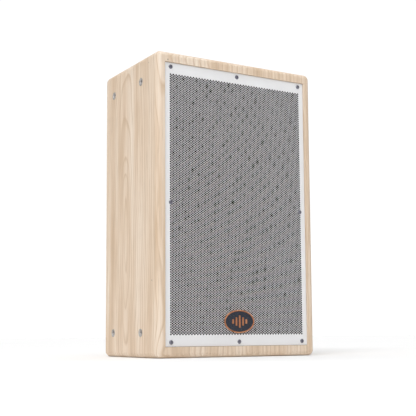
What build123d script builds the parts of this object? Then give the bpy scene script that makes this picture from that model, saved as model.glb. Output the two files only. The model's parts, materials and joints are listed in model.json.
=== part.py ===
from build123d import *

import math
import os

# Two-way loudspeaker cabinet, 12 inch woofer and horn, in millimetres.
# The origin is the middle of the base. The front faces -Y and +Z is up.

# Cabinet boards
cabinet_width = 381.0
cabinet_depth = 250.0
cabinet_height = 616.0
side_thickness = 18.0
cap_thickness = 22.0
baffle_thickness = 18.0
rear_thickness = 18.0
brace_thickness = 15.0
edge_round = 12.0
baffle_setback = 26.0
rear_inset = 8.0

# Grille and what holds it
grille_recess = 3.0
grille_sheet = 1.5
grille_gap = 0.5
foam_thickness = 6.0
foam_gap = 1.0
block_width = 26.0
block_height = 20.0
grille_screw_from_side = 14.2
grille_screw_from_cap = 9.0
grille_screw_shank = 2.0
grille_screw_head = 4.4
grille_screw_dome = 2.6
grille_screw_length = 19.0

# Badge
badge_width = 72.0
badge_height = 47.0
badge_centre_height = 72.0
badge_rim_width = 2.6
badge_rim_thickness = 2.9
badge_plate_thickness = 2.0
emblem_bar_width = 4.0
emblem_bar_pitch = 8.0
emblem_bar_heights = (9.0, 17.0, 25.0, 17.0, 9.0)
emblem_proud = 0.6

# Rigging inserts, M10
insert_hole_radius = 5.0
insert_hole_depth = 14.0
insert_barrel_radius = 7.0
insert_barrel_length = 16.0
insert_flange_radius = 8.5
insert_flange_thickness = 1.5
insert_setback = 73.0
insert_spacing_depth = 130.0
insert_from_end = 50.0

# Woofer
woofer_radius = 154.5
woofer_edge_gap = 27.5
woofer_flange_thickness = 5.0
woofer_gasket_thickness = 2.0
woofer_flange_land = 20.5
woofer_bolt_edge = 6.0
woofer_bolt_count = 8
woofer_window_count = 6
woofer_frame_wall = 6.5
woofer_window_width = 64.0
basket_taper = 18.5
woofer_cutout_clearance = 1.5
surround_roll = 6.5
surround_skin = 0.8
surround_rim = 9.0
spider_waves = 5
spider_wave_height = 2.0
spider_skin = 0.6
trim_ring_thickness = 2.0
cone_wall = 2.0
cone_depth = 45.0
cone_lip = 3.0
coil_radius = 38.0
coil_former_wall = 0.4
coil_winding_wall = 0.6
coil_gap = 0.6
dust_cap_overlap = 7.0
dust_cap_height = 12.0
dust_cap_wall = 1.0
spider_depth = 70.0
tub_depth = 87.0
tub_wall = 4.0
tub_spider_room = 32.0
woofer_top_plate_thickness = 8.0
woofer_magnet_thickness = 20.0
woofer_magnet_overhang = 4.0
woofer_yoke_thickness = 8.0
woofer_vent_radius = 10.0
woofer_tab_rise = 18.0
woofer_tab_spread = 6.0
tab_thickness = 0.8
tab_width = 6.0

# Horn and compression driver
horn_mouth_width = 250.0
horn_mouth_height = 140.0
horn_mouth_corner = 12.0
horn_throat_radius = 12.7
horn_length = 100.0
horn_wall = 3.0
horn_land = 20.0
horn_edge_gap = 24.0
horn_flange_thickness = 5.0
horn_gasket_thickness = 2.0
horn_cutout_clearance = 2.0
horn_section_shares = (0.0, 0.3, 0.6, 0.8, 1.0)
driver_radius = 44.0
driver_flange_thickness = 6.0
driver_bolt_radius = 3.0
driver_bolt_spread = 38.1
driver_yoke_thickness = 8.0
driver_magnet_thickness = 12.0
driver_top_plate_thickness = 5.0
driver_coil_radius = 22.3
driver_coil_wall = 0.3
driver_coil_gap = 0.3
driver_dome_height = 7.0
driver_dome_wall = 0.5
driver_suspension = 4.1
driver_cap_depth = 23.0
driver_cap_wall = 3.0
driver_tab_reach = 14.0
driver_tab_spread = 8.0
driver_bolt_head = 5.0
driver_bolt_key = 2.5

# Ports
port_bore_radius = 24.0
port_wall = 2.5
port_flange_width = 3.0
port_flange_thickness = 3.0
port_flare = 3.0
port_length = 110.0
port_woofer_gap = 6.0
port_block_gap = 2.0

# Crossover, on the inside of the rear panel
board_width = 170.0
board_height = 110.0
board_thickness = 1.6
board_centre_height = 270.0
standoff_height = 8.0
standoff_radius = 4.0
standoff_edge = 7.0
inductor_bore = 9.0
capacitor_radius = 9.0
capacitor_length = 36.0
resistor_length = 48.0
resistor_side = 10.0
resistor_height = 9.0

# Input cup in the rear panel
cup_width = 106.0
cup_height = 86.0
cup_depth = 32.0
cup_wall = 3.0
cup_corner = 8.0
cup_flange = 17.0
cup_flange_thickness = 3.0
cup_gasket_thickness = 2.0
cup_centre_height = 110.0
cup_clearance = 2.0
socket_spread = 24.0
socket_rise = 20.0
socket_bore_radius = 10.5
socket_barrel_radius = 12.0
socket_depth = 22.0
socket_core_radius = 6.0
socket_core_length = 14.0
socket_flange_width = 26.0
socket_flange_height = 31.0
socket_flange_thickness = 2.0
socket_tab_spread = 5.0
socket_tab_length = 6.0
post_spacing = 19.0
post_drop = 22.0
post_stud_radius = 3.0
post_plug_radius = 2.0
post_plug_depth = 12.0
post_collar_radius = 7.5
post_collar_height = 4.0
post_washer_radius = 6.5
post_washer_thickness = 1.2
post_knob_radius = 7.0
post_knob_length = 15.0
post_running_clearance = 0.05
post_axial_gap = 0.3
post_nut_thickness = 5.0
post_tail = 11.0
knob_flute_count = 12
knob_flute_radius = 0.9

# Fasteners, leads and lining
screw_clearance = 0.1
fit_clearance = 0.3
rebate_clearance = 0.5
screw_row_share = 0.6
small_screw_shank = 1.75
small_screw_head = 3.6
small_screw_dome = 2.2
small_screw_length = 15.0
woofer_screw_shank = 2.4
woofer_screw_head = 4.6
woofer_screw_dome = 2.6
woofer_screw_length = 16.0
lead_radius = 1.3
lining_thickness = 15.0
lining_margin = 4.0

# Planes and places that follow from the sizes above
front_plane = -cabinet_depth / 2
rear_plane = cabinet_depth / 2
opening_half = cabinet_width / 2 - side_thickness
opening_bottom = cap_thickness
opening_top = cabinet_height - cap_thickness
mid_height = cabinet_height / 2
grille_front = front_plane + grille_recess
grille_back = grille_front + grille_sheet
baffle_front = front_plane + baffle_setback
baffle_back = baffle_front + baffle_thickness
rear_face = rear_plane - rear_inset
rear_inner = rear_face - rear_thickness
woofer_height = opening_bottom + woofer_edge_gap + woofer_radius
woofer_inner = woofer_radius - woofer_flange_land
woofer_wall_radius = woofer_inner + woofer_frame_wall
woofer_cutout = woofer_wall_radius + woofer_cutout_clearance
woofer_rebate = woofer_flange_thickness + woofer_gasket_thickness
cone_radius = woofer_inner - 2 * surround_roll
tub_radius = coil_radius + tub_spider_room + tub_wall
spider_plane = baffle_front + spider_depth
tub_rear = baffle_front + tub_depth
magnet_front = tub_rear + woofer_top_plate_thickness
magnet_back = magnet_front + woofer_magnet_thickness
yoke_back = magnet_back + woofer_yoke_thickness
woofer_tab_top = woofer_height + tub_radius + woofer_tab_rise
woofer_tab_middle = tub_rear - 5
horn_flange_width = horn_mouth_width + 2 * horn_land
horn_flange_height = horn_mouth_height + 2 * horn_land
horn_height = opening_top - horn_edge_gap - horn_flange_height / 2
horn_rebate = horn_flange_thickness + horn_gasket_thickness
horn_back = baffle_front + horn_length
driver_tab_end = horn_height - driver_radius - driver_tab_reach
driver_tab_middle = horn_back + driver_yoke_thickness + 5.4
port_outer = port_bore_radius + port_wall
port_flange_radius = port_outer + port_flange_width
port_spread = opening_half - block_width - port_block_gap - port_flange_radius
port_distance = woofer_radius + port_flange_radius + port_woofer_gap
port_height = woofer_height + math.sqrt(port_distance**2 - port_spread**2)
brace_bottom = port_height + port_outer + lining_margin
brace_top = brace_bottom + brace_thickness
board_back = rear_inner - standoff_height
board_front = board_back - board_thickness
cup_rim_back = rear_face + cup_gasket_thickness + cup_flange_thickness
cup_floor = cup_rim_back - cup_depth
insert_front = front_plane + insert_setback
insert_places = [
    (depth, height)
    for depth in (insert_front, insert_front + insert_spacing_depth)
    for height in (insert_from_end, cabinet_height - insert_from_end)
]


os.makedirs("parts", exist_ok=True)


def write(name, *pieces):
    """Write one node: a single solid, or a group of separate solids."""
    solids = [solid for piece in pieces for solid in piece.solids()]
    shape = solids[0] if len(solids) == 1 else Compound(solids)
    export_step(shape, f"parts/{name}.step")


def block(x_low, x_high, y_low, y_high, z_low, z_high):
    """A box between two corners."""
    middle = Pos((x_low + x_high) / 2, (y_low + y_high) / 2, (z_low + z_high) / 2)
    return middle * Box(x_high - x_low, y_high - y_low, z_high - z_low)


def rod(x, z, y_low, y_high, radius):
    """A cylinder along Y."""
    return Pos(x, (y_low + y_high) / 2, z) * Rot(90, 0, 0) * Cylinder(radius, y_high - y_low)


def side_rod(x_low, x_high, y, z, radius):
    """A cylinder along X."""
    return Pos((x_low + x_high) / 2, y, z) * Rot(0, 90, 0) * Cylinder(radius, x_high - x_low)


def plane_at(x, y, z):
    """A sketch plane across the depth, with +X to the right and its normal to the rear."""
    return Plane(origin=(x, y, z), x_dir=(1, 0, 0), z_dir=(0, 1, 0))


def plate(x, z, y_low, y_high, width, height, corner):
    """A rounded rectangular plate across the depth."""
    outline = plane_at(x, y_low, z) * RectangleRounded(width, height, corner)
    return extrude(outline, y_high - y_low)


def turned(points, x=0.0, z=0.0):
    """A solid turned about an axis along Y, from (radius, y) points."""
    return Pos(x, 0, z) * revolve(make_face(Polyline(*points, close=True)), Axis.Y)


def ring(x, z, y_low, y_high, inner, outer):
    """A flat ring or a tube about an axis along Y."""
    return rod(x, z, y_low, y_high, outer) - rod(x, z, y_low - 1, y_high + 1, inner)


def dome(x, z, base, radius, height, wall):
    """A spherical shell cap on a base circle; a positive height rises towards +Y."""
    rise = abs(height)
    sphere_radius = (radius**2 + rise**2) / (2 * rise)
    centre_drop = sphere_radius - rise

    def arc_points(arc_radius):
        reach = math.acos(centre_drop / arc_radius)
        turns = (0, reach / 2, reach)
        rises = [arc_radius * math.cos(turn) - centre_drop for turn in turns]
        return [
            (arc_radius * math.sin(turn), base + math.copysign(lift, height))
            for turn, lift in zip(turns, rises)
        ]

    crown, shoulder, foot = arc_points(sphere_radius)
    inner_crown, inner_shoulder, inner_foot = arc_points(sphere_radius - wall)
    outline = ThreePointArc(crown, shoulder, foot) + Line(foot, inner_foot)
    outline += ThreePointArc(inner_foot, inner_shoulder, inner_crown)
    outline += Line(inner_crown, crown)
    return Pos(x, 0, z) * revolve(make_face(outline), Axis.Y)


def pan_screw(x, z, seat, shank_radius, head_radius, dome, length):
    """A domed pan-head screw driven towards +Y, with a cross recess; its head seats at y = seat."""
    edge = dome * 0.35
    rim = make_face(
        Polyline((0, seat), (head_radius, seat), (head_radius, seat - edge))
        + ThreePointArc(
            (head_radius, seat - edge),
            (head_radius * 0.62, seat - dome * 0.85),
            (0, seat - dome),
        )
        + Line((0, seat - dome), (0, seat))
    )
    head = Pos(x, 0, z) * revolve(rim, Axis.Y)
    slot_depth = dome * 0.6
    slot_reach = head_radius * 0.5
    slot_half = head_radius * 0.1
    for across, along in ((slot_reach, slot_half), (slot_half, slot_reach)):
        head -= block(
            x - across,
            x + across,
            seat - dome - 1,
            seat - dome + slot_depth,
            z - along,
            z + along,
        )
    return head + rod(x, z, seat - 0.2, seat + length, shank_radius)


def rear_screw(x, z, seat, length):
    """A small pan-head screw driven towards -Y."""
    screw = pan_screw(
        0, 0, 0, small_screw_shank, small_screw_head, small_screw_dome, length
    )
    return Pos(x, seat, z) * Rot(0, 0, 180) * screw


def lead(points, bend):
    """A round lead along straight runs joined by tangent arcs."""
    path = FilletPolyline(*points, radius=bend)
    start = Plane(origin=path @ 0, z_dir=path % 0)
    return sweep(start * Circle(lead_radius), path=path)


def block_places():
    """The centre of each grille block and of the screw in it, as (x, z, screw_x, screw_z)."""
    block_x = opening_half - block_width / 2
    screw_x = opening_half - grille_screw_from_side
    places = []
    for end, inward in ((opening_bottom, 1), (opening_top, -1)):
        block_z = end + inward * block_height / 2
        screw_z = end + inward * grille_screw_from_cap
        places.append((0.0, block_z, 0.0, screw_z))
        for side in (-1, 1):
            places.append((side * block_x, block_z, side * screw_x, screw_z))
    for side in (-1, 1):
        places.append((side * block_x, mid_height, side * screw_x, mid_height))
    return places


def woofer_bolt_places():
    """The woofer's screws on their circle."""
    radius = woofer_radius - woofer_bolt_edge
    turns = [(i + 0.5) * 2 * math.pi / woofer_bolt_count for i in range(woofer_bolt_count)]
    return [
        (radius * math.cos(turn), woofer_height + radius * math.sin(turn))
        for turn in turns
    ]


def horn_screw_places():
    """Eight screws round the horn's flange."""
    reach_x = horn_mouth_width / 2 + horn_land * screw_row_share
    reach_z = horn_mouth_height / 2 + horn_land * screw_row_share
    return [
        (across * reach_x, horn_height + up * reach_z)
        for across in (-1, 0, 1)
        for up in (-1, 0, 1)
        if across or up
    ]


def cup_screw_places():
    """Six screws round the input cup's flange."""
    reach_x = cup_width / 2 + cup_flange * screw_row_share
    reach_z = cup_height / 2 + cup_flange * screw_row_share
    return [
        (across * reach_x, cup_centre_height + up * reach_z)
        for across in (-1, 0, 1)
        for up in (-1, 1)
    ]


def cabinet_boards():
    """The four outer boards, cut from one rounded box, and the boards inside them."""
    half = cabinet_width / 2
    body = block(-half, half, front_plane, rear_plane, 0, cabinet_height)
    envelope = fillet(body.edges(), edge_round)
    for side, name in ((-1, "left"), (1, "right")):
        edges = sorted((side * half, side * opening_half))
        board = envelope & block(*edges, front_plane, rear_plane, 0, cabinet_height)
        for depth, height in insert_places:
            board -= insert_solid(side, depth, height, False)
        write(f"side_panel_{name}", board)
    span = (-opening_half, opening_half, front_plane, rear_plane)
    write("top_panel", envelope & block(*span, opening_top, cabinet_height))
    write("bottom_panel", envelope & block(*span, 0, opening_bottom))


def insert_solid(side, depth, height, hollow):
    """A flanged threaded insert sunk flush in a side board, or the pocket it fills."""
    face = side * cabinet_width / 2
    flange_end = face - side * insert_flange_thickness
    barrel_end = face - side * insert_barrel_length
    hole_end = face - side * insert_hole_depth
    solid = side_rod(*sorted((flange_end, face)), depth, height, insert_flange_radius)
    solid += side_rod(*sorted((barrel_end, face)), depth, height, insert_barrel_radius)
    if hollow:
        solid -= side_rod(*sorted((hole_end, face)), depth, height, insert_hole_radius)
    return solid


def rigging_inserts():
    """Four threaded inserts on each side."""
    for side, name in ((-1, "left"), (1, "right")):
        inserts = [insert_solid(side, depth, height, True) for depth, height in insert_places]
        write(f"rigging_inserts_{name}", *inserts)


def rear_board():
    """The rear panel, with the opening and screw holes of the input cup."""
    board = block(
        -opening_half, opening_half, rear_inner, rear_face, opening_bottom, opening_top
    )
    outer = cup_wall + cup_clearance
    board -= plate(
        0,
        cup_centre_height,
        rear_inner - 1,
        rear_face + 1,
        cup_width + 2 * outer,
        cup_height + 2 * outer,
        cup_corner + outer,
    )
    screw_hole = small_screw_shank + screw_clearance
    screw_end = cup_rim_back - small_screw_length
    for x, z in cup_screw_places():
        board -= rod(x, z, screw_end - 1, rear_face + 1, screw_hole)
    write("rear_panel", board)


def baffle_board():
    """The board that carries the woofer, the horn and the two ports."""
    board = block(
        -opening_half, opening_half, baffle_front, baffle_back, opening_bottom, opening_top
    )
    woofer_seat = baffle_front + woofer_rebate
    horn_seat = baffle_front + horn_rebate
    board -= rod(0, woofer_height, baffle_front - 1, woofer_seat, woofer_radius + rebate_clearance)
    board -= rod(0, woofer_height, woofer_seat - 1, baffle_back + 1, woofer_cutout)
    for x, z in woofer_bolt_places():
        screw_end = baffle_front + woofer_screw_length + 1
        board -= rod(x, z, woofer_seat - 1, screw_end, woofer_screw_shank + screw_clearance)
    board -= plate(
        0,
        horn_height,
        baffle_front - 1,
        horn_seat,
        horn_flange_width + 2 * rebate_clearance,
        horn_flange_height + 2 * rebate_clearance,
        horn_land / 2,
    )
    cutout = 2 * (horn_wall + horn_cutout_clearance)
    board -= plate(
        0,
        horn_height,
        horn_seat - 1,
        baffle_back + 1,
        horn_mouth_width + cutout,
        horn_mouth_height + cutout,
        horn_mouth_corner + cutout / 2,
    )
    for x, z in horn_screw_places():
        screw_end = baffle_front + small_screw_length + 1
        board -= rod(x, z, horn_seat - 1, screw_end, small_screw_shank + screw_clearance)
    for side in (-1, 1):
        port_x = side * port_spread
        flange_end = baffle_front + port_flange_thickness
        flange = port_flange_radius + fit_clearance
        board -= rod(port_x, port_height, baffle_front - 1, flange_end, flange)
        tube = port_outer + fit_clearance
        board -= rod(port_x, port_height, baffle_front, baffle_back + 1, tube)
    write("front_baffle", board)


def window_brace():
    """A shelf brace from the baffle to the rear panel, with three windows."""
    brace = block(
        -opening_half, opening_half, baffle_back, rear_inner, brace_bottom, brace_top
    )
    bay = 2 * opening_half / 3
    depth = rear_inner - baffle_back
    margin = 2 * brace_thickness
    for i in (-1, 0, 1):
        outline = Plane.XY * RectangleRounded(bay - margin, depth - 2 * margin, brace_thickness)
        window = extrude(outline, brace_thickness + 2)
        brace -= Pos(i * bay, (baffle_back + rear_inner) / 2, brace_bottom - 1) * window
    write("window_brace", brace)


def grille_parts():
    """The grille sheet, its blocks, foam and screws. The sheet's fine perforation is left solid."""
    middle = (opening_bottom + opening_top) / 2
    width = 2 * (opening_half - grille_gap)
    height = opening_top - opening_bottom - 2 * grille_gap
    sheet = plate(0, middle, grille_front, grille_back, width, height, grille_gap)
    foam_back = grille_back + foam_thickness
    foam_half = opening_half - foam_gap
    foam = block(
        -foam_half,
        foam_half,
        grille_back,
        foam_back,
        opening_bottom + foam_gap,
        opening_top - foam_gap,
    )
    blocks = []
    screws = []
    hole = grille_screw_shank + screw_clearance
    for x, z, screw_x, screw_z in block_places():
        half_x = block_width / 2
        half_z = block_height / 2
        foam -= block(
            x - half_x - foam_gap,
            x + half_x + foam_gap,
            grille_back - 1,
            foam_back + 1,
            z - half_z - foam_gap,
            z + half_z + foam_gap,
        )
        wood = block(x - half_x, x + half_x, grille_back, baffle_front, z - half_z, z + half_z)
        screw_end = grille_front + grille_screw_length
        blocks.append(wood - rod(screw_x, screw_z, grille_back - 1, screw_end + 0.5, hole))
        sheet -= rod(screw_x, screw_z, grille_front - 1, grille_back + 1, hole)
        screws.append(
            pan_screw(
                screw_x,
                screw_z,
                grille_front,
                grille_screw_shank,
                grille_screw_head,
                grille_screw_dome,
                grille_screw_length,
            )
        )
    write("grille", sheet)
    write("grille_foam", foam)
    write("grille_blocks", *blocks)
    write("grille_screws", *screws)


def badge():
    """An oval badge on the grille: rim, dark plate and five raised level-meter bars."""
    half_width = badge_width / 2
    half_height = badge_height / 2
    face = plane_at(0, grille_front - badge_rim_thickness, badge_centre_height)
    inner = Ellipse(half_width - badge_rim_width, half_height - badge_rim_width)
    rim = extrude(face * (Ellipse(half_width, half_height) - inner), badge_rim_thickness)
    write("badge_rim", rim)
    fit = badge_rim_width + screw_clearance
    plate_face = grille_front - badge_plate_thickness
    outline = Ellipse(half_width - fit, half_height - fit)
    write(
        "badge_plate",
        extrude(plane_at(0, plate_face, badge_centre_height) * outline, badge_plate_thickness),
    )
    bars = []
    middle = (len(emblem_bar_heights) - 1) / 2
    for i, bar_height in enumerate(emblem_bar_heights):
        bars.append(
            plate(
                (i - middle) * emblem_bar_pitch,
                badge_centre_height,
                plate_face - emblem_proud,
                plate_face,
                emblem_bar_width,
                bar_height,
                emblem_bar_width / 4,
            )
        )
    write("badge_emblem", *bars)


def woofer_frame():
    """The cast basket, its gasket, front ring, screws and terminal block."""
    front = baffle_front
    flange_back = front + woofer_flange_thickness
    shoulder = woofer_wall_radius - basket_taper
    shelf = tub_radius - 2 * tub_wall
    basket = turned(
        [
            (woofer_radius, front),
            (woofer_radius, flange_back),
            (woofer_wall_radius, flange_back),
            (woofer_wall_radius, flange_back + 4),
            (shoulder, spider_plane - 18),
            (tub_radius + 6, spider_plane + 4),
            (tub_radius, spider_plane + 7),
            (tub_radius, tub_rear),
            (coil_radius + 6, tub_rear),
            (coil_radius + 6, tub_rear - tub_wall),
            (tub_radius - tub_wall, tub_rear - tub_wall),
            (tub_radius - tub_wall, spider_plane + 9),
            (shelf, spider_plane + 9),
            (shelf, spider_plane),
            (tub_radius + 2, spider_plane),
            (shoulder - tub_wall, spider_plane - 22),
            (woofer_inner, flange_back + 6),
            (woofer_inner, front),
        ],
        z=woofer_height,
    )
    for i in range(woofer_window_count):
        window = block(
            tub_radius + 10,
            woofer_radius,
            flange_back + 8,
            spider_plane,
            -woofer_window_width / 2,
            woofer_window_width / 2,
        )
        turn = Rot(0, i * 360 / woofer_window_count, 0)
        basket -= Pos(0, 0, woofer_height) * turn * window
    gasket = ring(
        0,
        woofer_height,
        flange_back,
        flange_back + woofer_gasket_thickness,
        woofer_cutout,
        woofer_radius,
    )
    screws = []
    hole = woofer_screw_shank + screw_clearance
    for x, z in woofer_bolt_places():
        drill = rod(x, z, front - 1, front + woofer_rebate + 1, hole)
        basket -= drill
        gasket -= drill
        screws.append(
            pan_screw(
                x,
                z,
                front,
                woofer_screw_shank,
                woofer_screw_head,
                woofer_screw_dome,
                woofer_screw_length,
            )
        )
    rim_front = front - surround_skin
    trim = ring(
        0,
        woofer_height,
        rim_front - trim_ring_thickness,
        rim_front,
        woofer_inner + 0.5,
        woofer_inner + surround_rim,
    )
    terminal = block(
        -13, 13, tub_rear - 9, tub_rear - 1, woofer_height, woofer_height + tub_radius + 10
    ) - rod(0, woofer_height, front, yoke_back, tub_radius)
    wide = tab_width / 2
    thick = tab_thickness / 2
    for side in (-1, 1):
        terminal += block(
            side * woofer_tab_spread - wide,
            side * woofer_tab_spread + wide,
            woofer_tab_middle - thick,
            woofer_tab_middle + thick,
            woofer_tab_top - 9,
            woofer_tab_top,
        )
    write("woofer_basket", basket)
    write("woofer_gasket", gasket)
    write("woofer_trim_ring", trim)
    write("woofer_screws", *screws)
    write("woofer_terminals", terminal)


def woofer_moving_parts():
    """Cone, dust cap and voice coil, and the two soft rings that hold them."""
    front = baffle_front
    rim_front = front - surround_skin
    rim_outer = woofer_inner + surround_rim
    inner_roll = surround_roll - surround_skin
    middle = woofer_inner - surround_roll
    lip_inner = cone_radius - cone_lip
    outline = (
        Polyline(
            (middle + inner_roll, front),
            (rim_outer, front),
            (rim_outer, rim_front),
            (middle + surround_roll, rim_front),
        )
        + ThreePointArc(
            (middle + surround_roll, rim_front),
            (middle, rim_front - surround_roll),
            (middle - surround_roll, rim_front),
        )
        + Polyline(
            (middle - surround_roll, rim_front),
            (lip_inner, rim_front),
            (lip_inner, front),
            (middle - inner_roll, front),
        )
        + ThreePointArc(
            (middle - inner_roll, front),
            (middle, front - inner_roll),
            (middle + inner_roll, front),
        )
    )
    surround = Pos(0, 0, woofer_height) * revolve(make_face(outline), Axis.Y)
    write("woofer_surround", surround)

    former = coil_radius + coil_former_wall
    winding = former + coil_winding_wall
    cone_back = front + cone_depth
    cone = turned(
        [
            (cone_radius + 0.5, front),
            (lip_inner, front),
            (former, cone_back),
            (former, cone_back + cone_wall),
            (lip_inner, front + cone_wall),
            (cone_radius + 0.5, front + cone_wall),
        ],
        z=woofer_height,
    )
    write("woofer_cone", cone)

    cap_radius = former + dust_cap_overlap
    slope = cone_depth / (lip_inner - former)
    cap_base = cone_back - dust_cap_overlap * slope - screw_clearance
    cap = dome(0, woofer_height, cap_base, cap_radius, -dust_cap_height, dust_cap_wall)
    write("woofer_dust_cap", cap)

    coil_end = magnet_front + 2
    coil_start = tub_rear - 2
    coil = turned(
        [
            (coil_radius, cone_back - 2),
            (former, cone_back - 2),
            (former, coil_start),
            (winding, coil_start),
            (winding, coil_end),
            (coil_radius, coil_end),
        ],
        z=woofer_height,
    )
    write("woofer_voice_coil", coil)

    spider_inner = former + 0.1
    spider_outer = tub_radius
    flat = 2 * tub_wall
    pitch = (spider_outer - flat - spider_inner) / spider_waves
    level = spider_plane - spider_skin
    upper = [(spider_inner, level)]
    for i in range(spider_waves):
        upper.append((spider_inner + (i + 0.25) * pitch, level - spider_wave_height))
        upper.append((spider_inner + (i + 0.75) * pitch, level + spider_wave_height))
    upper.append((spider_outer - flat, level))
    upper.append((spider_outer, level))
    lower = [(radius, depth + spider_skin) for radius, depth in reversed(upper)]
    write("woofer_spider", turned(upper + lower, z=woofer_height))


def woofer_motor():
    """Top plate, ring magnet, and the yoke with its vented pole."""
    pole = coil_radius - coil_gap
    plate_bore = coil_radius + coil_former_wall + coil_winding_wall + coil_gap
    plate_outer = tub_radius + 1
    magnet_outer = plate_outer + woofer_magnet_overhang
    write(
        "woofer_top_plate",
        ring(0, woofer_height, tub_rear, magnet_front, plate_bore, plate_outer),
    )
    write(
        "woofer_magnet",
        ring(0, woofer_height, magnet_front, magnet_back, plate_bore + 5, magnet_outer),
    )
    yoke = rod(0, woofer_height, magnet_back, yoke_back, plate_outer)
    yoke += rod(0, woofer_height, tub_rear - 1, magnet_back + 1, pole)
    yoke -= rod(0, woofer_height, tub_rear - 2, yoke_back + 1, woofer_vent_radius)
    write("woofer_pole_yoke", yoke)


def horn_section(share, extra):
    """The exponential horn's rounded section at a share of its length from the throat."""
    throat = 2 * horn_throat_radius
    width = throat * (horn_mouth_width / throat) ** share
    height = throat * (horn_mouth_height / throat) ** share
    corner = horn_throat_radius * 0.98 * (1 - share) + horn_mouth_corner * share
    plane = plane_at(0, horn_back - share * horn_length, horn_height)
    outline = RectangleRounded(width + 2 * extra, height + 2 * extra, corner + extra)
    return plane * outline


def horn_parts():
    """The horn with its flanges, its gasket and screws, and the driver's bolts."""
    flange_back = baffle_front + horn_flange_thickness
    throat_front = horn_back - driver_flange_thickness
    body = loft([horn_section(share, horn_wall) for share in horn_section_shares])
    body += plate(
        0,
        horn_height,
        baffle_front,
        flange_back,
        horn_flange_width,
        horn_flange_height,
        horn_land / 2,
    )
    body += rod(0, horn_height, throat_front, horn_back, driver_radius)
    body -= loft([horn_section(share, 0) for share in horn_section_shares])
    gasket_back = flange_back + horn_gasket_thickness
    cutout = 2 * (horn_wall + horn_cutout_clearance)
    gasket = plate(
        0,
        horn_height,
        flange_back,
        gasket_back,
        horn_flange_width,
        horn_flange_height,
        horn_land / 2,
    ) - plate(
        0,
        horn_height,
        flange_back - 1,
        gasket_back + 1,
        horn_mouth_width + cutout,
        horn_mouth_height + cutout,
        horn_mouth_corner + cutout / 2,
    )
    screws = []
    hole = small_screw_shank + screw_clearance
    for x, z in horn_screw_places():
        drill = rod(x, z, baffle_front - 1, gasket_back + 1, hole)
        body -= drill
        gasket -= drill
        screws.append(
            pan_screw(
                x,
                z,
                baffle_front,
                small_screw_shank,
                small_screw_head,
                small_screw_dome,
                small_screw_length,
            )
        )
    bolts = []
    bolt_end = horn_back + driver_yoke_thickness - 2
    for side in (-1, 1):
        x = side * driver_bolt_spread
        hole = driver_bolt_radius + screw_clearance
        body -= rod(x, horn_height, throat_front - 1, horn_back + 1, hole)
        bolt = rod(x, horn_height, throat_front - driver_bolt_head, throat_front, driver_bolt_head)
        bolt += rod(x, horn_height, throat_front - 0.5, bolt_end, driver_bolt_radius)
        key_start = throat_front - driver_bolt_head - 1
        bolt -= rod(x, horn_height, key_start, throat_front - 2, driver_bolt_key)
        bolts.append(bolt)
    write("horn", body)
    write("horn_gasket", gasket)
    write("horn_screws", *screws)
    write("driver_bolts", *bolts)


def compression_driver():
    """The driver behind the horn: motor, phase plug, diaphragm, clamp ring, cap and terminals."""
    yoke_end = horn_back + driver_yoke_thickness
    magnet_end = yoke_end + driver_magnet_thickness
    plate_end = magnet_end + driver_top_plate_thickness
    pole = driver_coil_radius - driver_coil_gap
    coil_outer = driver_coil_radius + driver_coil_wall
    plate_bore = coil_outer + driver_coil_gap

    yoke = rod(0, horn_height, horn_back, yoke_end, driver_radius)
    yoke += rod(0, horn_height, yoke_end - 1, plate_end, pole)
    yoke -= rod(0, horn_height, horn_back - 1, plate_end + 1, horn_throat_radius)
    for side in (-1, 1):
        x = side * driver_bolt_spread
        hole = driver_bolt_radius + screw_clearance
        yoke -= rod(x, horn_height, horn_back - 1, yoke_end - 1, hole)
    write("driver_yoke", yoke)
    write(
        "driver_magnet",
        ring(0, horn_height, yoke_end, magnet_end, plate_bore + 6, driver_radius),
    )
    write(
        "driver_top_plate",
        ring(0, horn_height, magnet_end, plate_end, plate_bore, driver_radius),
    )

    plug = turned([(0, horn_back + 6), (8, plate_end), (0, plate_end)], z=horn_height)
    fin_bore = rod(0, 0, magnet_end, plate_end, horn_throat_radius)
    for i in range(3):
        fin = Rot(0, i * 120, 0) * block(0, horn_throat_radius + 1, magnet_end, plate_end, -1, 1)
        plug += Pos(0, 0, horn_height) * (fin & fin_bore)
    write("driver_phase_plug", plug)

    rim = plate_end + 1.5
    diaphragm = ring(0, horn_height, magnet_end, rim, driver_coil_radius, coil_outer)
    diaphragm += dome(0, horn_height, rim, coil_outer, driver_dome_height, driver_dome_wall)
    write("driver_diaphragm", diaphragm)

    suspension_inner = coil_outer + 0.1
    suspension_outer = suspension_inner + driver_suspension
    write(
        "driver_surround",
        ring(0, horn_height, rim, rim + 0.4, suspension_inner, suspension_outer),
    )
    clamp_outer = driver_radius - driver_cap_wall - fit_clearance
    write(
        "driver_clamp_ring",
        ring(0, horn_height, plate_end, rim + 1, suspension_outer, clamp_outer),
    )
    cap_end = plate_end + driver_cap_depth
    inside = driver_radius - driver_cap_wall
    cap = turned(
        [
            (driver_radius, plate_end),
            (driver_radius, cap_end - 6),
            (driver_radius - 6, cap_end),
            (0, cap_end),
            (0, cap_end - driver_cap_wall),
            (inside - 5, cap_end - driver_cap_wall),
            (inside, cap_end - 8),
            (inside, plate_end),
        ],
        z=horn_height,
    )
    write("driver_rear_cap", cap)
    low = horn_height - driver_radius
    terminal = block(-14, 14, yoke_end + 1, magnet_end - 1, low - 7, horn_height)
    terminal -= rod(0, horn_height, horn_back, cap_end, driver_radius)
    for side in (-1, 1):
        terminal += block(
            side * driver_tab_spread - tab_width / 2,
            side * driver_tab_spread + tab_width / 2,
            driver_tab_middle - tab_thickness / 2,
            driver_tab_middle + tab_thickness / 2,
            driver_tab_end,
            driver_tab_end + 8,
        )
    write("driver_terminals", terminal)


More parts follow.
